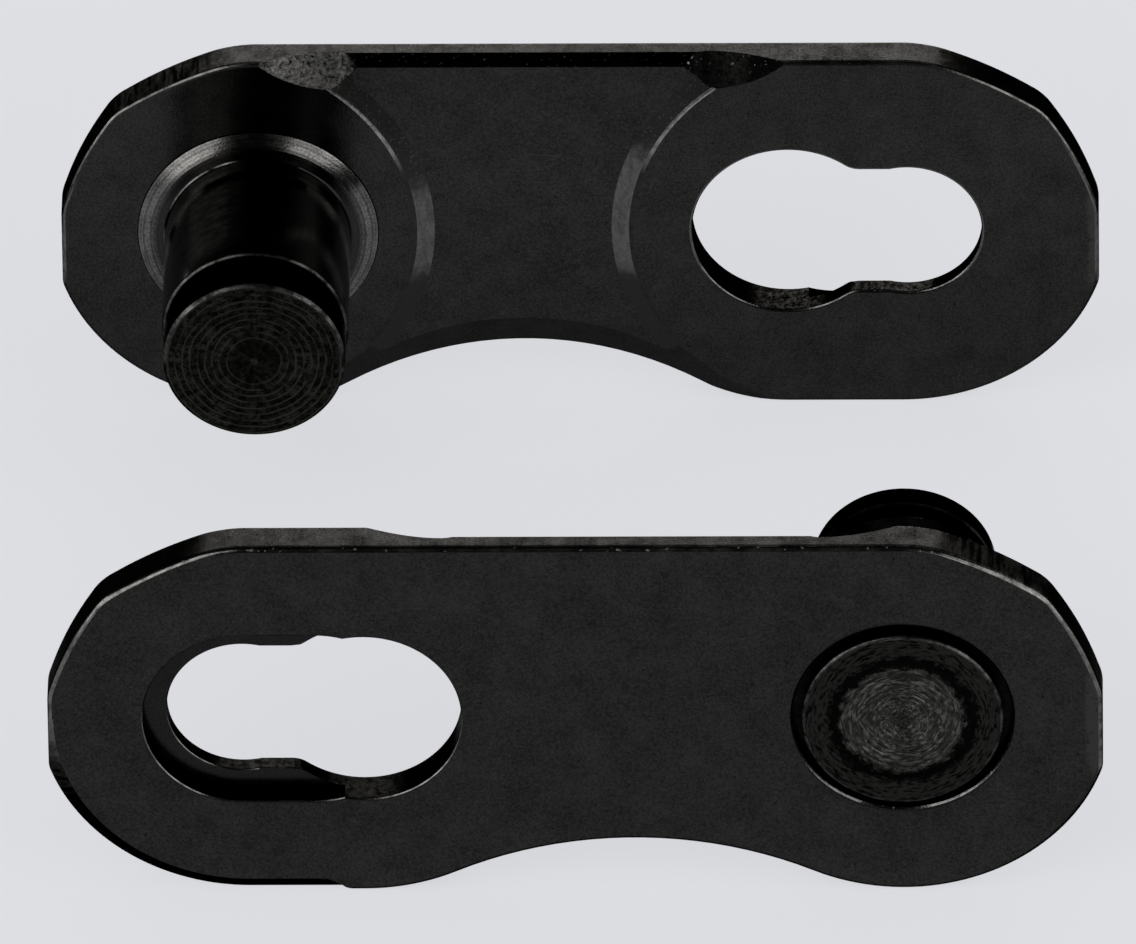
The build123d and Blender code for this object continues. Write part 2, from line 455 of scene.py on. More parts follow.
def quarterCutters():
    p = plateSizes
    lobe = p["lobeRadius"]
    lobeX = pitch - p["slotLobeShort"]
    start = p["thickness"] - p["quarterDepth"]
    slope = p["quarterWidth"] / p["quarterDepth"]
    corner = block((lobeX, start, -lobe - 1), (lobeX + lobe + 1, start + 1, 0))
    carve(corner, drum(lobeX, 0, start - 0.1, start + 1.1, lobe + 0.1 * slope, lobe - 1.1 * slope))
    foot = pitch - p["quarterEnd"]
    edge = startPen("quarterEdge", (foot, start, -lobe))
    lineTo((foot, start + 1, -lobe + slope))
    lineTo((foot, start + 1, -lobe - 1))
    lineTo((foot, start, -lobe - 1))
    pullOut((lobeX - foot, 0, 0))
    trim(edge, (foot, 0, -lobe), (-p["quarterWidth"], 0, p["quarterRamp"]))
    return [corner, edge]


def addSlots(piece):
    for _ in finishes:
        piece.data.materials.append(None)


def makePlate():
    p = plateSizes
    thick = p["thickness"]
    plate = drawPlate()
    addSlots(plate)
    sharp, segments = p["sharpAngle"], p["edgeSegments"]

    def bothAt(a, b, depth):
        return max(abs(a.y - depth), abs(b.y - depth)) < precision["sameDepth"]

    def sharpAt(depth):
        return lambda a, b, angle: angle > sharp and bothAt(a, b, depth)

    bevelWhere(plate, sharpAt(thick), p["dieRoll"], p["rollSegments"])
    bevelWhere(plate, sharpAt(0), p["burrEdge"], segments, finishes.index("wornRim"))
    for cutter in [panelCutter(), *topBevelCutters(), waistBevelCutter(), *quarterCutters()]:
        carve(plate, cutter)
    carve(plate, slotCutter())
    carve(plate, pocketCutter())
    past = p["cutPast"]
    carve(plate, drum(0, 0, -past, thick + past, p["shankHole"]))
    carve(plate, drum(0, 0, -past, p["flangePocket"][1], p["flangePocket"][0]))
    carve(plate, drum(0, 0, thick - p["rivetPocket"][1], thick + past, p["rivetPocket"][0]))

    def onSlotRim(a, b, angle):
        return angle > sharp and a.x > middleX and (bothAt(a, b, 0) or bothAt(a, b, thick))

    def onPocketRim(a, b, angle):
        return angle > sharp and a.x < middleX and bothAt(a, b, thick)

    def onLedge(a, b, angle):
        return angle > sharp and min(a.x, b.x) > p["ledgeEdgeFrom"] and bothAt(a, b, p["ledge"])

    def onCrest(a, b, angle):
        out = p["ridgeApex"] + p["ridgeRadius"]
        fromMiddle = abs(a.x - middleX)
        away = abs(math.hypot(out - fromMiddle, a.z) - p["ridgeRadius"])
        least, most = p["crestAngle"]
        onRidge = fromMiddle < out and away < 2 * precision["samePlace"]
        return onRidge and least < angle < most and bothAt(a, b, 0)

    for test, width, finish in (
        (onCrest, p["crestEdge"], "wornCrest"),
        (onSlotRim, p["rimEdge"], "wornRim"),
        (onPocketRim, p["pocketEdge"], "wornRim"),
        (onLedge, p["ledgeEdge"], "wornRim"),
    ):
        bevelWhere(plate, test, width, segments, finishes.index(finish))
    return plate


plateFacing = {
    # how far a face looks along Y, from and to
    "wall": (-1, 0.5),
    "rim": (0.55, 0.96),
    "roll": (0.55, 0.92),
    "waist": (0.85, 0.97),
    "step": (0.93, 0.975),
    "runout": (-1, 0.9),
    # and where some of them end
    "room": 0.05,
    "slotEnd": 2.2,
    "waistHeight": -1.2,
    "waistDown": -0.2,
    "waistEnd": 2.9,
}


def paintPlate(plate):
    # each face gets the number of its finish, by where it is and which way it looks
    p, f = plateSizes, plateFacing
    room = f["room"]
    runoutLow = p["lobeRadius"] - p["topTrim"] - p["runoutDrop"] - room
    rim, crest = finishes.index("wornRim"), finishes.index("wornCrest")

    def looks(facing, name):
        least, most = f[name]
        return least < facing < most

    for face in plate.data.polygons:
        facing, place = abs(face.normal.y), face.center
        if face.material_index == crest or face.material_index == rim and looks(facing, "rim"):
            continue
        atPin = math.hypot(place.x, place.z) < p["flangePocket"][0] + room
        inSlot = entryX - f["slotEnd"] < place.x < pitch + f["slotEnd"] and abs(place.z) < 2
        offEntry = math.hypot(place.x - entryX, place.z) > p["entryRadius"] + precision["samePlace"]
        inPocket = inSlot and offEntry and place.y > p["ledge"]
        underWaist = face.normal.z < f["waistDown"] or abs(place.x - middleX) > f["waistEnd"]
        inWaist = place.z < f["waistHeight"] and underWaist
        inside = place.y < p["thickness"] - 2 * room
        if looks(facing, "wall"):
            kind = "holeWall" if atPin or inPocket else "slotWall" if inSlot else "shearedEdge"
        elif atPin and inside and place.y > room:
            kind = "holeWall"
        # faces deep in the slot, like the waist's bevel below, get the waist band's painted shade
        elif inSlot and inside and place.y > 2 * room:
            kind = "waistBand"
        elif place.y > p["thickness"] - p["dieRoll"] and looks(facing, "roll") and not atPin:
            kind = "wornRim"
        elif inWaist and looks(facing, "waist"):
            kind = "waistBand"
        elif looks(facing, "step") and place.y < p["panelDepth"]:
            kind = "pressedStep"
        elif looks(facing, "runout") and place.z > runoutLow:
            kind = "pittedRunout"
        else:
            kind = "plateFace"
        face.material_index = finishes.index(kind)


pinSizes = {
    "tip": -4.50,
    "markRadius": 0.06,
    "markDepth": 0.03,
    "headRadius": 1.78,
    "tipBevelOut": 0.07,
    "tipBevelLength": 0.07,
    "headStart": -3.93,
    "headBackBevel": 0.05,
    "neckRadius": 1.40,
    "shoulder": -3.45,
    "shaftRadius": 1.82,
    "shoulderBevel": 0.045,
    "flangeDome": ((2.07, -0.17), (2.21, -0.10), (2.345, -0.025)),
    "flangeFloor": 0.12,
    "shankRadius": 1.45,
    "rivetFloor": 0.48,
    "rivetRadius": 1.95,
    "rivetFace": 0.88,
    "groove": ((1.53, 0), (1.44, 0.025), (1.36, 0.025), (1.26, 0)),
    "ringPitch": 0.145,
    "ringFirst": 0.36,
    "ringLast": 1.50,
    "ringDepth": 0.006,
    "hammerFirst": 0.15,
    "hammerLast": 1.22,
    "hammerPitch": 0.11,
    "hammerDepth": 0.010,
    "rivetEdge": 0.07,
    "fillet": 0.06,
    "edgeRound": 0.02,    # where the small bevels meet the faces beside them
    "endMap": 5,          # across the flat map that the ends' patterns lie on
    "steps": 180,
}


def ringsBetween(first, last, pitch, face, depth):
    # fine turned grooves across an end, from the middle outwards
    shape = ((0, 0), (0.2, depth), (0.4, depth), (0.6, 0))   # share of the pitch, and depth
    starts = [first + count * pitch for count in range(int((last - first) / pitch))]
    return [(start + pitch * out, face + deep) for start in starts for out, deep in shape]


def pinProfile():
    # radius and depth, from the head's centre mark round to the rivet's
    p = pinSizes
    hammered = ringsBetween(
        p["hammerFirst"], p["hammerLast"], p["hammerPitch"], p["rivetFace"], -p["hammerDepth"],
    )
    return [
        (0, p["tip"] + p["markDepth"]),
        (p["markRadius"], p["tip"]),
        *ringsBetween(p["ringFirst"], p["ringLast"], p["ringPitch"], p["tip"], p["ringDepth"]),
        (p["headRadius"] - p["tipBevelOut"], p["tip"]),
        (p["headRadius"], p["tip"] + p["tipBevelLength"]),
        (p["headRadius"], p["headStart"]),
        (p["neckRadius"], p["headStart"]),
        (p["neckRadius"], p["shoulder"]),
        (p["shaftRadius"] - p["shoulderBevel"], p["shoulder"]),
        (p["shaftRadius"], p["shoulder"] + p["shoulderBevel"]),
        (p["shaftRadius"], p["flangeDome"][0][1]),
        *p["flangeDome"],
        (p["flangeDome"][-1][0], p["flangeFloor"]),
        (p["shankRadius"], p["flangeFloor"]),
        (p["shankRadius"], p["rivetFloor"]),
        (p["rivetRadius"], p["rivetFloor"]),
        (p["rivetRadius"], p["rivetFace"]),
        *[(radius, p["rivetFace"] - depth) for radius, depth in p["groove"]],
        *reversed(hammered),
        (p["markRadius"], p["rivetFace"]),
        (0, p["rivetFace"] - p["markDepth"]),
    ]


def makePin():
    p = pinSizes
    points = pinProfile()
    pin = startPen("pin", (*points[0], 0))
    for point in points[1:]:
        lineTo((*point, 0))

    def oneOf(corners):
        same = precision["samePoint"]
        return lambda place: any(math.dist((place.x, place.y), corner) < same for corner in corners)

    rivetEdge = [(p["rivetRadius"], p["rivetFace"])]
    headBack = [(p["headRadius"], p["headStart"])]
    neckEnds = [(p["neckRadius"], p["shoulder"]), (p["neckRadius"], p["headStart"])]
    shaftFoot = [(p["shaftRadius"], p["flangeDome"][0][1])]
    smallBevels = [
        (p["headRadius"] - p["tipBevelOut"], p["tip"]),
        (p["headRadius"], p["tip"] + p["tipBevelLength"]),
        (p["shaftRadius"] - p["shoulderBevel"], p["shoulder"]),
        (p["shaftRadius"], p["shoulder"] + p["shoulderBevel"]),
    ]
    for corners, radius, segments in (
        (rivetEdge, p["rivetEdge"], 4),
        (headBack, p["headBackBevel"], 2),
        (neckEnds, p["fillet"], 3),
        (shaftFoot, p["fillet"], 3),
        (smallBevels, p["edgeRound"], 2),
    ):
        roundCorners(oneOf(corners), radius, segments)
    selectAll()
    bpy.ops.mesh.spin(steps=p["steps"], angle=2 * math.pi, center=(0, 0, 0), axis=(0, 1, 0))
    weld()
    turnOutwards()
    return pin


def paintPin(pin):
    p = pinSizes
    little, edge = precision["samePlace"], p["fillet"]
    edges = (
        # from, to, least radius
        (p["shoulder"] - little, p["shoulder"] + edge, p["shaftRadius"] - edge),
        (p["headStart"] - 0.9 * p["headBackBevel"], p["headStart"] + little, p["headRadius"] - 0.04),
        (p["rivetFace"] - 0.08, p["rivetFace"] + little, p["rivetRadius"] - edge),
    )
    for face in pin.data.polygons:
        place = face.center
        radius = math.hypot(place.x, place.z)
        onEdge = any(low < place.y < high and radius > least for low, high, least in edges)
        if place.y < p["tip"] + 2 * little and radius < p["headRadius"] - p["tipBevelOut"]:
            kind = "tipFace"
        elif place.y < p["tip"] + p["tipBevelLength"] + 2 * little or onEdge:
            kind = "headRim"
        elif place.y > edges[-1][0] and radius < edges[-1][2]:
            kind = "rivetFace"
        elif -0.25 < place.y < 0.1 and radius > p["shaftRadius"] + edge / 2:
            kind = "turnedFlange"
        elif place.y < p["shoulder"] + little:
            kind = "headSide"
        else:
            kind = "pinBody"
        face.material_index = finishes.index(kind)
    # the ends carry their pattern on a flat map
    for layer in list(pin.data.uv_layers):
        pin.data.uv_layers.remove(layer)
    ends = pin.data.uv_layers.new(name="ends")
    for corner in pin.data.loops:
        place = pin.data.vertices[corner.vertex_index].co
        ends.data[corner.index].uv = (0.5 + place.x / p["endMap"], 0.5 + place.z / p["endMap"])


plate = makePlate()
paintPlate(plate)
print("plate modelled:", len(plate.data.polygons), "faces")
pin = makePin()
addSlots(pin)
paintPin(pin)
print("pin modelled:", len(pin.data.polygons), "faces")


def standHalf(piece, name, turned):
    # a copy of the half's piece, shrunk to metres and moved to its place
    onlyThis(piece)
    bpy.ops.object.duplicate()
    copy = bpy.context.object
    copy.name = name
    copy.data.name = name
    copy.location = (-pitch / 2, layout["halvesApart"] / 2, layout["centreHeight"])
    bpy.ops.object.transform_apply(location=True)
    copy.rotation_euler = (0, 0, math.pi if turned else 0)
    copy.scale = (0.001, 0.001, 0.001)
    bpy.ops.object.transform_apply(rotation=True, scale=True)
    return copy


smoothBelow = {"plate": 11, "pin": 24}   # degrees
halves = {}
for kind, source in (("plate", plate), ("pin", pin)):
    onlyThis(source)
    bpy.ops.object.shade_smooth_by_angle(angle=math.radians(smoothBelow[kind]))
    weigh = source.modifiers.new("weigh", "WEIGHTED_NORMAL")
    weigh.keep_sharp = True
    bpy.ops.object.modifier_apply(modifier=weigh.name)
    for side, turned in (("back", False), ("front", True)):
        piece = standHalf(source, f"{side}_{kind}_fine", turned)
        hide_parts(f"{side}_{kind}")
        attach(piece, f"{side}_half")
        halves[f"{side}_{kind}"] = piece
    bpy.data.objects.remove(source)
print("halves in place")


grainLook = {
    "grain": 24.0,        # grains to a millimetre
    "grainHeight": 0.0000012,
    "mottle": (1.4, 5.0, 0.6),
    "mottleLevels": (0.3, 0.7),
    "speckle": (1.1, 0.6, 0.40),   # the grain's share, the mottle's, and what is taken off
    "grazing": 0.12,      # how much of the grazing shine stays
}
grazingShine = {"pinBody": 1.0, "waistBand": 0.5}

# In the dictionaries below, a pattern is (scale, detail, roughness) of a noise, with the scale in features
# to a millimetre, levels are (from, to) or (from, to, least, most), and patches are a pattern with levels.
# Lengths are in millimetres.


def addNode(kind, inputs, **settings):
    # a node in the tree of the sockets that it takes
    tree = next(value.id_data for value in inputs.values() if isinstance(value, bpy.types.NodeSocket))
    node = tree.nodes.new("ShaderNode" + kind)
    for name, setting in settings.items():
        setattr(node, name, setting)
    for name, value in inputs.items():
        if isinstance(value, bpy.types.NodeSocket):
            tree.links.new(value, node.inputs[name])
        else:
            node.inputs[name].default_value = value
    return node.outputs


def feed(value, name, node="Principled BSDF"):
    tree = value.id_data
    tree.links.new(value, tree.nodes[node].inputs[name])


def calc(operation, *values):
    return addNode("Math", dict(enumerate(values)), operation=operation)[0]


def times(first, *others):
    for value in others:
        first = calc("MULTIPLY", first, value)
    return first


def plus(first, *others):
    for value in others:
        first = calc("ADD", first, value)
    return first


def minus(value, less):
    return calc("SUBTRACT", value, less)


def spread(value, fromLow, fromHigh, toLow=0.0, toHigh=1.0, soft=False):
    ends = {"From Min": fromLow, "From Max": fromHigh, "To Min": toLow, "To Max": toHigh}
    way = "SMOOTHSTEP" if soft else "LINEAR"
    return addNode("MapRange", {"Value": value, **ends}, interpolation_type=way)["Result"]


def noise(place, scale, detail=2.0, rough=0.5):
    inputs = {"Vector": place, "Scale": scale, "Detail": detail, "Roughness": rough}
    return addNode("TexNoise", inputs)["Fac"]


def patches(place, pattern, levels):
    return spread(noise(place, *pattern), *levels)


def mapped(place, shift=(0, 0, 0), turn=(0, 0, 0), scale=(1, 1, 1)):
    turn = [math.radians(angle) for angle in turn]
    inputs = {"Vector": place, "Location": shift, "Rotation": turn, "Scale": scale}
    return addNode("Mapping", inputs)["Vector"]


def axesOf(place):
    return addNode("SeparateXYZ", {0: place})


def joinAxes(*values):
    return addNode("CombineXYZ", dict(enumerate(values)))[0]


def vectorNode(operation, place):
    return addNode("VectorMath", {0: place}, operation=operation)


def cellsOf(place, scale, feature):
    return addNode("TexVoronoi", {"Vector": place, "Scale": scale}, feature=feature)["Distance"]


def coordinates(tree, kind):
    return tree.nodes.new("ShaderNodeTexCoord").outputs[kind]


def upward(place, low, high, least):
    # lighter where a surface looks up and darker where it looks down: painted light from above
    return spread(axesOf(coordinates(place.id_data, "Normal"))["Z"], low, high, least, 1, True)


def newMaterial(name):
    material = bpy.data.materials.new(name)
    material.use_nodes = True
    return material, material.node_tree.nodes["Principled BSDF"].inputs


def startFinish(name):
    # a dark metal with grain; gives the place in millimetres and the speckle of the grain
    rough, roughSpread = finishLook[name][2:]
    material, shader = newMaterial(name)
    shader["Metallic"].default_value = 1.0
    grazing = grazingShine.get(name, grainLook["grazing"])
    shader["Specular Tint"].default_value = (grazing, grazing, grazing, 1)
    place = mapped(coordinates(material.node_tree, "Object"), scale=(1000, 1000, 1000))
    grain = noise(place, grainLook["grain"])
    mottle = noise(place, *grainLook["mottle"])
    feed(spread(mottle, *grainLook["mottleLevels"], rough - roughSpread, rough + roughSpread), "Roughness")
    feed(addNode("Bump", {"Height": grain, "Distance": grainLook["grainHeight"]})["Normal"], "Normal")
    grainShare, mottleShare, less = grainLook["speckle"]
    return place, minus(plus(times(grain, grainShare), times(mottle, mottleShare)), less)


def colourIt(name, value, tint=(1.02, 1, 0.955)):
    # the colour between a finish's two shades
    dark, light = [(*[shade * part for part in tint], 1) for shade in finishLook[name][:2]]
    inputs = {"A": dark, "B": light, "Factor": value}
    feed(addNode("Mix", inputs, data_type="RGBA")["Result"], "Base Color")


faceWear = {
    "speckleLevels": (0.2, 0.8, 0.08, 0.92),
    "scratches": ((62, 7, 0.36), (-20, 9, 0.33)),   # turn, stretch, share of the face
    "scratchCells": 0.9,
    "scratchWidth": 0.012,
    "scratchGate": (0.8, 1.0),
    "scratchShine": 0.8,
    "pits": 1.6,
    "pitLevels": (0.03, 0.06, 1, 0),
    "pitDark": 0.7,
    "endFrom": (9.84, 10.04),   # the rubbed end, along X
    "endHeight": 4.0,
    "endHalf": (0.9, 1.4, 1, 0),
    "endPatches": ((4.0, 5.0, 0.7), (0.38, 0.60, 0, 2.4)),
}


def scratches(place, turn, stretch, share):
    # sparse thin lines: cells drawn out one way, kept only where a noise is high
    drawn = mapped(place, turn=(0, turn, 0), scale=(1, 1, stretch))
    edges = cellsOf(drawn, faceWear["scratchCells"], "DISTANCE_TO_EDGE")
    line = spread(edges, 0, faceWear["scratchWidth"], 1, 0, True)
    return times(line, patches(place, faceWear["scratchGate"], (1 - share, 1.02 - share)))


def plateFace(name):
    look = faceWear
    place, speckle = startFinish(name)
    lines = calc("MAXIMUM", *[scratches(place, *line) for line in look["scratches"]])
    value = plus(spread(speckle, *look["speckleLevels"]), times(lines, look["scratchShine"]))
    pits = spread(cellsOf(place, look["pits"], "F1"), *look["pitLevels"], True)
    value = minus(value, times(pits, look["pitDark"]))
    axes = axesOf(place)
    away = calc("ABSOLUTE", minus(axes["Z"], look["endHeight"]))
    end = times(spread(axes["X"], *look["endFrom"]), spread(away, *look["endHalf"]))
    end = times(end, patches(place, *look["endPatches"]))
    colourIt(name, plus(value, end))


shearPatches = {
    # name: patches to a millimetre, what they add, the least
    "shearedEdge": (3.2, 0.30, 0.30),
    # the slot wall's small least value paints shade inside the slot
    "slotWall": (8.0, 0.50, 0.05),
}
shearLook = {
    "drawnOut": (9, 1.2, 9),
    "drawnPattern": (1.0, 4.0, 0.65),
    "drawnShare": 0.50,
    "patchDetail": (4.0, 0.7),
    "patchLevels": (0.40, 0.60),
    "byPin": (-20, -5, 0.80, 0.04),   # X times Y is lowest at the pin's end of each half
    "streakLevels": (0.40, 0.56, 0.15, 1),
    "paintedStreaksUp": (0.55, 0.85, 0),
    "paintedTopHighlight": (0.88, 0.985, 0),
}


def sheared(name):
    # the torn, drawn surface that a die leaves, with a painted highlight on the top edge where it looks up
    # and lighter painted streaks on upward facets at the pin's end of each half; the rest stays dark
    look = shearLook
    scale, share, least = shearPatches[name]
    place, speckle = startFinish(name)
    drawn = noise(mapped(place, scale=look["drawnOut"]), *look["drawnPattern"])
    blotch = patches(place, (scale, *look["patchDetail"]), look["patchLevels"])
    value = plus(times(blotch, share), times(drawn, look["drawnShare"]), least)
    axes = axesOf(place)
    byPin = spread(times(axes["X"], axes["Y"]), *look["byPin"])
    streaks = spread(drawn, *look["streakLevels"])
    # painted highlight: streaks on upward facets at the pin's end, and the top edge where it looks up
    paintedHighlight = times(byPin, streaks, upward(place, *look["paintedStreaksUp"]))
    paintedLight = calc("MAXIMUM", upward(place, *look["paintedTopHighlight"]), paintedHighlight)
    colourIt(name, times(value, speckle, paintedLight))


wearAndLightWhere = {
    # name: the heights it comes in between, and how far the edge has to look up, below which it is painted
    # darker as shade; on the crest the heights place a painted highlight
    "wornRim": ((0.0, 0.1), (-0.25, 0.05, 0.05)),
    "wornCrest": ((5.3, 6.4), None),
}
wearAndGlintLook = {
    "patches": ((5.0, 4.0, 0.65), (0.34, 0.60, 0.30, 1.0)),
    "lowDown": 0.04,
    "chipPatches": ((9.0, 3.0), (0.665, 0.70, 0, 1)),
    "chipsUp": (0.3, 0.7, 0),
    "chipRough": 0.6,
    "chipShine": 5.0,
}


def wearAndPaintedLight(name):
    # bare metal showing through, with painted shade where a rim looks down and a painted highlight towards
    # the crest's top
    look = wearAndGlintLook
    heights, gate = wearAndLightWhere[name]
    place = startFinish(name)[0]
    height = spread(axesOf(place)["Z"], *heights, look["lowDown"], 1, True)
    value = times(patches(place, *look["patches"]), height)
    if gate:
        value = times(value, upward(place, *gate))
        # chipped specks, rougher, with painted glints where they look up
        chips = times(patches(place, *look["chipPatches"]), upward(place, *look["chipsUp"]))
        shader = place.id_data.nodes["Principled BSDF"]
        plain = shader.inputs["Roughness"].links[0].from_socket
        feed(plus(plain, times(chips, look["chipRough"])), "Roughness")
        value = plus(value, times(chips, look["chipShine"]))
    colourIt(name, value)


def plainCoat(name):
    colourIt(name, startFinish(name)[1])


stepWearAndHighlight = {
    "height": 4.04,                      # the middle of the painted highlight and rubbed wear
    "higherBySide": (-0.5, 0.5, 0, 0.42),   # and how much more on the step towards +X
    "raggedPattern": (6.0, 4.0, 0.7),
    "ragged": 0.8,
    "half": (1.10, 1.65, 1, 0),
    "drawnOut": (7, 7, 3),
    "patches": ((1.0, 5.0, 0.75), (0.3, 0.7, 0.35, 1.25)),
    "underSpeckle": 0.5,
    "plainSpeckle": 0.12,
    "chipPatches": ((19.0, 2.0), (0.60, 0.68, 0, 0.5)),
    "chipsAbove": (5.0, 5.6, 0, 1),
}


def pressedStep(name):
    # a painted highlight, with some rubbed wear, across the middle height of the step
    look = stepWearAndHighlight
    place, speckle = startFinish(name)
    axes = axesOf(place)
    reach = spread(axes["X"], *look["higherBySide"])
    away = calc("ABSOLUTE", minus(minus(axes["Z"], look["height"]), reach))
    ragged = times(noise(place, *look["raggedPattern"]), look["ragged"])
    away = plus(minus(away, reach), ragged)
    middle = spread(away, *look["half"], True)
    paintedHighlight = patches(mapped(place, scale=look["drawnOut"]), *look["patches"])
    paintedHighlight = times(paintedHighlight, middle, plus(speckle, look["underSpeckle"]))
    chips = times(patches(place, *look["chipPatches"]), spread(axes["Z"], *look["chipsAbove"]))
    colourIt(name, plus(paintedHighlight, chips, times(speckle, look["plainSpeckle"])))


holePatches = ((5.0, 4.0, 0.7), (0.35, 0.65))


# painted shade: the walls and floors of the pin's hole and the pocket, darker than the face
def holeWall(name):
    place, speckle = startFinish(name)
    colourIt(name, times(patches(place, *holePatches), speckle))


def endPlace(place):
    # place and radius on the pin's end, from its centre
    size = pinSizes["endMap"]
    flat = coordinates(place.id_data, "UV")
    flat = mapped(flat, shift=(-size / 2, -size / 2, 0), scale=(size, size, 1))
    return flat, vectorNode("LENGTH", flat)["Value"]


flangeLook = {
    "rings": 26.0,    # to a millimetre
    "ringPatches": ((1.0, 2.0), (0.3, 0.7)),
    "leastRing": 0.4,
    "brightFrom": (1.98, 2.10, 0.10, 0.86),
}


def turnedFlange(name):
    look = flangeLook
    place, speckle = startFinish(name)
    radius = endPlace(place)[1]
    turned = joinAxes(times(radius, look["rings"]), noise(place, *grainLook["mottle"]))
    rings = patches(turned, *look["ringPatches"])
    value = times(plus(rings, look["leastRing"]), speckle)
    colourIt(name, times(value, spread(radius, *look["brightFrom"])))


bodyLook = {
    "drawnOut": (3, 7, 3),
    "patches": ((1.0, 5.0, 0.7), (0.36, 0.66)),
    # painted highlight: only the left side of the back pin gets the light shade, by place along X
    "litSide": (-6.75, -6.35, 1, 0.04),   # along X
    "leastSpeckle": 0.2,
}


def pinBody(name):
    look = bodyLook
    place, speckle = startFinish(name)
    patch = patches(mapped(place, scale=look["drawnOut"]), *look["patches"])
    # painted highlight down the pin's left side
    patch = times(patch, spread(axesOf(place)["X"], *look["litSide"]))
    colourIt(name, times(patch, plus(speckle, look["leastSpeckle"])))


headRimLook = {
    "patches": ((2.6, 6.0, 0.75), (0.42, 0.60, 0.06, 1)),
    # painted highlight: the rim is lighter where it looks up
    "up": (-0.6, 0.5, 0.30),
}


def headRim(name):
    look = headRimLook
    place = startFinish(name)[0]
    patch = patches(place, *look["patches"])
    # painted highlight where the head's edges look up
    colourIt(name, times(patch, upward(place, *look["up"])))


runoutGrainAndHighlight = {
    # along X, from left to right of the set
    "leftPaintedHighlight": (-6.5, -5.1, 0.24, 1.1),
    "leftEnd": (-5.05, -4.35, 1, 0.003),
    "rightPaintedSheen": (2.2, 2.5, 0, 0.07),
    "paintedSheenEnd": (3.1, 3.35, 1, 0.02),
    "patches": ((13.0, 4.0, 0.75), (0.36, 0.62)),
    "chipPatches": ((14.0, 2.0), (0.66, 0.70, 0, 0.9)),
    "chipsAbove": (7.72, 7.90, 0.15, 1),
}


def pittedRunout(name):
    # a cast-like grain, with a painted highlight towards the left end of the set and a faint painted sheen
    # on the right run-out
    look = runoutGrainAndHighlight
    place = startFinish(name)[0]
    axes = axesOf(place)
    paintedHighlight = spread(axes["X"], *look["leftPaintedHighlight"], True)
    paintedHighlight = times(paintedHighlight, spread(axes["X"], *look["leftEnd"], True))
    paintedSheen = times(*[spread(axes["X"], *look[end]) for end in ("rightPaintedSheen", "paintedSheenEnd")])
    chips = times(patches(place, *look["chipPatches"]), spread(axes["Z"], *look["chipsAbove"]))
    grains = patches(place, *look["patches"])
    colourIt(name, plus(times(grains, plus(paintedHighlight, paintedSheen)), chips))


strokePattern = (1.0, 3.0, 0.6)


def strokesRound(flat, radius, twist, along, across):
    # streaks that run round an end, turned into a spiral by the twist
    inputs = {"Vector": flat, "Angle": times(radius, twist)}
    turned = addNode("VectorRotate", inputs, rotation_type="Z_AXIS")[0]
    axes = axesOf(vectorNode("NORMALIZE", turned)["Vector"])
    sides = [times(axes[side], along) for side in ("X", "Y")]
    return noise(joinAxes(*sides, times(radius, across)), *strokePattern)


tipLook = {
    "tint": (1.04, 1.03, 0.86),
    "wobblePattern": (2.2, 2.0),
    "wobble": 0.09,
    "ringWidth": 0.030,
    "ringsFrom": (0.40, 0.60, 0, 1.1),
    "strokes": (0.0, 2.2, 5.0),   # twist, and how fine along and across
    "strokeLevels": (0.34, 0.54),
    "stainPatches": ((5.0, 6.0, 0.8), (0.43, 0.56)),
    "stainByRadius": (0.35, 0.80, 0.30, 0.72),
    "spotPatches": ((11.0, 3.0, 0.6), (0.40, 0.50, 0.25, 1)),
    "broadPatches": ((1.6, 3.0), (0.38, 0.62, 0.55, 1.25)),
    "pip": (0.05, 0.09, 0.7, 0),
}


def tipFace(name):
    # turned rings showing through a stained coating
    look = tipLook
    flat, radius = endPlace(startFinish(name)[0])
    wobble = times(noise(flat, *look["wobblePattern"]), look["wobble"])
    swing = calc("PINGPONG", plus(radius, wobble), pinSizes["ringPitch"] / 2)
    rings = spread(swing, 0, look["ringWidth"], 1, 0, True)
    patch = spread(strokesRound(flat, radius, *look["strokes"]), *look["strokeLevels"])
    rings = times(rings, patch, spread(radius, *look["ringsFrom"]))
    dull = [patches(flat, *look[kind]) for kind in ("stainPatches", "spotPatches", "broadPatches")]
    dull = times(dull[0], spread(radius, *look["stainByRadius"]), *dull[1:])
    dull = plus(dull, spread(radius, *look["pip"]))
    colourIt(name, plus(dull, rings), look["tint"])


rivetLook = {
    "tint": (1.04, 1.02, 0.93),
    "fineStrokes": (0.9, 6.0, 26.0),   # twist, and how fine along and across
    "fineLevels": (0.44, 0.62),
    "broadStrokes": (0.7, 2.2, 7.0),
    "broadLevels": (0.34, 0.60),
    "leastStroke": 0.20,
    "raggedPattern": (4.0, 6.0, 0.8),
    "ragged": 0.80,
    "middleEnd": (1.50, 1.66, 1, 0.0),
    "centre": (0.12, 0.30, 0.45, 1),
    "ringFrom": (1.80, 1.92, 0.02, 1),
    "ringStrokes": (0.1, 9.0, 22.0),
    "ringLevels": (0.38, 0.54),
    "ringShine": 0.20,
    "sparkPatches": ((16.0, 2.0), (0.60, 0.68, 0, 1.6)),
}


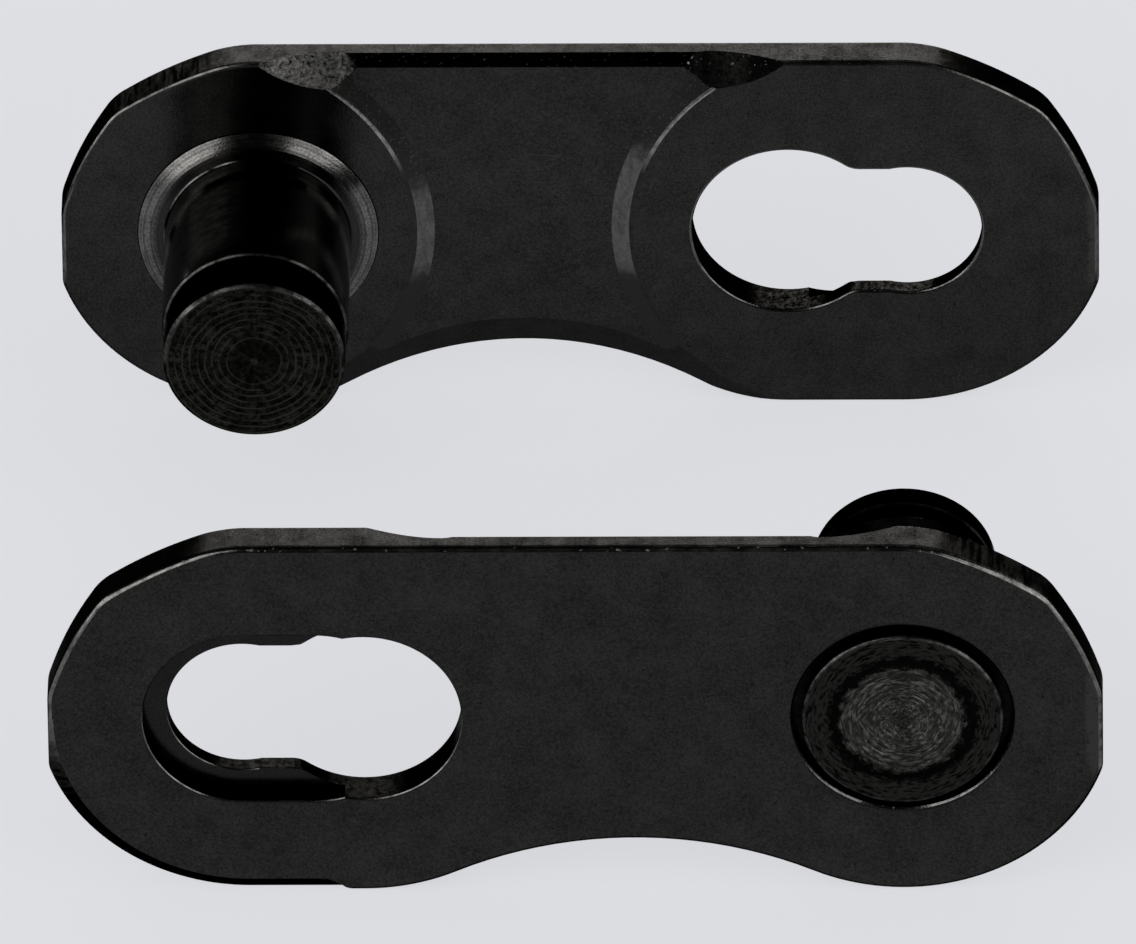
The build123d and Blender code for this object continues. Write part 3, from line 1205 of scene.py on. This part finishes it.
def rivetFace(name):
    # hammered round in a spiral, inside a ragged dark groove and a darker ring
    look = rivetLook
    flat, radius = endPlace(startFinish(name)[0])

    def strokes(kind):
        drawn = strokesRound(flat, radius, *look[kind + "Strokes"])
        return spread(drawn, *look[kind + "Levels"])

    fine = strokes("fine")
    ragged = plus(radius, times(noise(flat, *look["raggedPattern"]), look["ragged"]))
    middle = spread(ragged, *look["middleEnd"], True)
    middle = times(middle, spread(radius, *look["centre"], True))
    outer = times(spread(ragged, *look["ringFrom"], True), strokes("ring"), look["ringShine"])
    inner = times(plus(times(fine, strokes("broad")), look["leastStroke"]), middle)
    sparks = times(patches(flat, *look["sparkPatches"]), times(middle, fine))
    colourIt(name, plus(inner, outer, sparks), look["tint"])


finishMakers = {
    "plateFace": plateFace,
    "shearedEdge": sheared,
    "slotWall": sheared,
    "wornRim": wearAndPaintedLight,
    "wornCrest": wearAndPaintedLight,
    "pressedStep": pressedStep,
    "waistBand": plainCoat,
    "holeWall": holeWall,
    "turnedFlange": turnedFlange,
    "pinBody": pinBody,
    "headSide": plainCoat,
    "headRim": headRim,
    "tipFace": tipFace,
    "rivetFace": rivetFace,
    "pittedRunout": pittedRunout,
}
for kind in finishes:
    finishMakers[kind](kind)
for piece in halves.values():
    for index, kind in enumerate(finishes):
        piece.data.materials[index] = bpy.data.materials[kind]
    onlyThis(piece)
    bpy.ops.object.material_slot_remove_unused()
print("finishes made")


studio = {
    "background": (0.716, 0.723, 0.754, 1),
    "floorSize": 1.2,
    "shadowShare": 0.2,   # how much of the floor's own shading shows
    "shadowEnds": (0.022, 0.060),
    "skyOnObject": 0.55,
    "floorGlow": 1.085,
    # how bright the gloss sees the floor along Y: from, to, and the share at either
    # painted shade: the gloss sees the floor's glow darker under the back half and in front of the front
    # half
    "floorUnderBack": (0.001, 0.006, 1, 0.78),
    "floorInFront": (-0.0105, -0.008, 0.86, 1),
    "lens": 1300,
    "frameWidth": 0.022038,
    "azimuth": 1.1322,
    "elevation": 34.3031,
    "roll": 0.7859,
    "aim": (0, -0.000392, 0.00404),
    "aimShift": (-0.0001861, 0.0000133),
}


def seenRays(tree):
    # 1 for what the camera sees, straight or in gloss or glass
    path = tree.nodes.new("ShaderNodeLightPath")
    camera, gloss, glass = [path.outputs[f"Is {kind} Ray"] for kind in ("Camera", "Glossy", "Transmission")]
    return calc("MAXIMUM", calc("MAXIMUM", camera, gloss), glass)


def paleFloor():
    bpy.ops.mesh.primitive_plane_add(size=studio["floorSize"], location=(0, 0, 0))
    floor = bpy.context.object
    floor.name = "floor"
    material, shader = newMaterial("paleFloor")
    shader["Base Color"].default_value = studio["background"]
    shader["Roughness"].default_value = 1.0
    tree = material.node_tree
    place = coordinates(tree, "Object")
    along = axesOf(place)["Y"]
    # painted shade in the floor's glow, as the gloss sees it, near the halves
    level = times(*[spread(along, *studio[part]) for part in ("floorUnderBack", "floorInFront")])
    path = tree.nodes.new("ShaderNodeLightPath")
    level = calc("MAXIMUM", level, path.outputs["Is Camera Ray"])
    inputs = {"Color": studio["background"], "Strength": times(level, studio["floorGlow"])}
    glow = addNode("Emission", inputs)[0]
    # its shading fades out round the object, so that it meets the world without a line
    away = vectorNode("LENGTH", place)["Value"]
    glowing = spread(away, *studio["shadowEnds"], 1 - studio["shadowShare"], 1)
    share = times(seenRays(tree), glowing)
    blend = addNode("MixShader", {0: share, 1: tree.nodes["Principled BSDF"].outputs[0], 2: glow})[0]
    feed(blend, 0, "Material Output")
    floor.data.materials.append(material)


def paleWorld():
    world = bpy.data.worlds.new("studio")
    bpy.context.scene.world = world
    world.use_nodes = True
    tree = world.node_tree
    tree.nodes["Background"].inputs["Color"].default_value = studio["background"]
    strength = spread(seenRays(tree), 0, 1, studio["skyOnObject"], studio["floorGlow"])
    feed(strength, "Strength", "Background")


def roundTheObject(azimuth, elevation, distance):
    # azimuth 0 is in front of the object and 90 on its right
    a, e = math.radians(azimuth), math.radians(elevation)
    out = Vector((math.sin(a) * math.cos(e), -math.cos(a) * math.cos(e), math.sin(e)))
    return out * distance + Vector(studio["aim"]), (-out).to_track_quat("-Z", "Y").to_euler()


softboxes = {
    # name: azimuth, elevation, distance, width, height, brightness
    "backStrip": (181, 18, 0.35, 0.200, 0.060, 6.4),
    "frontLeft": (-54, 16, 0.30, 0.330, 0.190, 2.6),
    "frontTopLeft": (-36, 42, 0.30, 0.150, 0.084, 2.6),
    "frontTopRight": (28, 12, 0.30, 0.140, 0.100, 2.2),
    "frontRight": (62, 20, 0.30, 0.310, 0.240, 2.0),
}


def addSoftboxes():
    for name, (azimuth, elevation, distance, width, height, brightness) in softboxes.items():
        data = bpy.data.lights.new(name, "AREA")
        data.shape = "RECTANGLE"
        data.size, data.size_y = width, height
        data.energy = brightness * math.pi * width * height
        lamp = bpy.data.objects.new(name, data)
        bpy.context.scene.collection.objects.link(lamp)
        lamp.location, lamp.rotation_euler = roundTheObject(azimuth, elevation, distance)
        lamp.visible_camera = False


blackCloths = {
    "shade": 0.002,
    "tentRadius": 0.5,
    "tentSides": (48, 24),
    "height": 0.0001,
    # the strips' near left and far right corners
    "stripLeft": ((-0.0745, 0.003), (-0.0165, 0.060)),
    "stripRight": ((0.0165, 0.003), (0.0745, 0.060)),
    "stripBehind": ((-0.0165, 0.0100), (0.0165, 0.060)),
}


def addBlackCloth():
    # a black tent over the set and strips beside and behind it, which only the gloss sees: they paint dark
    # reflections and cast no shade
    black, shader = newMaterial("blackCloth")
    shader["Base Color"].default_value = (*[blackCloths["shade"]] * 3, 1)
    shader["Roughness"].default_value = 1.0
    shader["Specular IOR Level"].default_value = 0.0
    segments, rings = blackCloths["tentSides"]
    radius = blackCloths["tentRadius"]
    bpy.ops.mesh.primitive_uv_sphere_add(segments=segments, ring_count=rings, radius=radius)
    tent = bpy.context.object
    tent.name = "blackTent"
    trim(tent, (0, 0, 0.001), (0, 0, -1), closed=False)
    tent.data.materials.append(black)
    cloths = [tent]
    for name in ("stripLeft", "stripRight", "stripBehind"):
        low, high = blackCloths[name]
        middle = ((low[0] + high[0]) / 2, (low[1] + high[1]) / 2, blackCloths["height"])
        bpy.ops.mesh.primitive_plane_add(size=1, location=middle)
        strip = bpy.context.object
        strip.scale = (high[0] - low[0], high[1] - low[1], 1)
        strip.name = name
        strip.data.materials.append(black)
        cloths.append(strip)
    for cloth in cloths:
        for rays in ("camera", "diffuse", "transmission", "shadow"):
            setattr(cloth, f"visible_{rays}", False)


def aimCamera():
    azimuth, elevation, roll = [math.radians(studio[part]) for part in ("azimuth", "elevation", "roll")]
    right = Vector((math.cos(azimuth), math.sin(azimuth), 0))
    up = Vector((
        -math.sin(azimuth) * math.sin(elevation),
        math.cos(azimuth) * math.sin(elevation),
        math.cos(elevation),
    ))
    back = right.cross(up)
    rightRolled = math.cos(roll) * right - math.sin(roll) * up
    upRolled = math.sin(roll) * right + math.cos(roll) * up
    data = bpy.data.cameras.new("camera")
    data.lens = studio["lens"]
    distance = studio["frameWidth"] * data.lens / data.sensor_width
    shiftX, shiftY = studio["aimShift"]
    aim = Vector(studio["aim"]) + rightRolled * shiftX + upRolled * shiftY
    turn = Matrix((rightRolled, upRolled, back)).transposed().to_4x4()
    turn.translation = aim + back * distance
    camera = bpy.data.objects.new("camera", data)
    bpy.context.scene.collection.objects.link(camera)
    camera.matrix_world = turn
    bpy.context.scene.camera = camera


paleFloor()
paleWorld()
addSoftboxes()
addBlackCloth()
aimCamera()
bpy.context.scene.view_settings.view_transform = "Standard"
print("studio set")
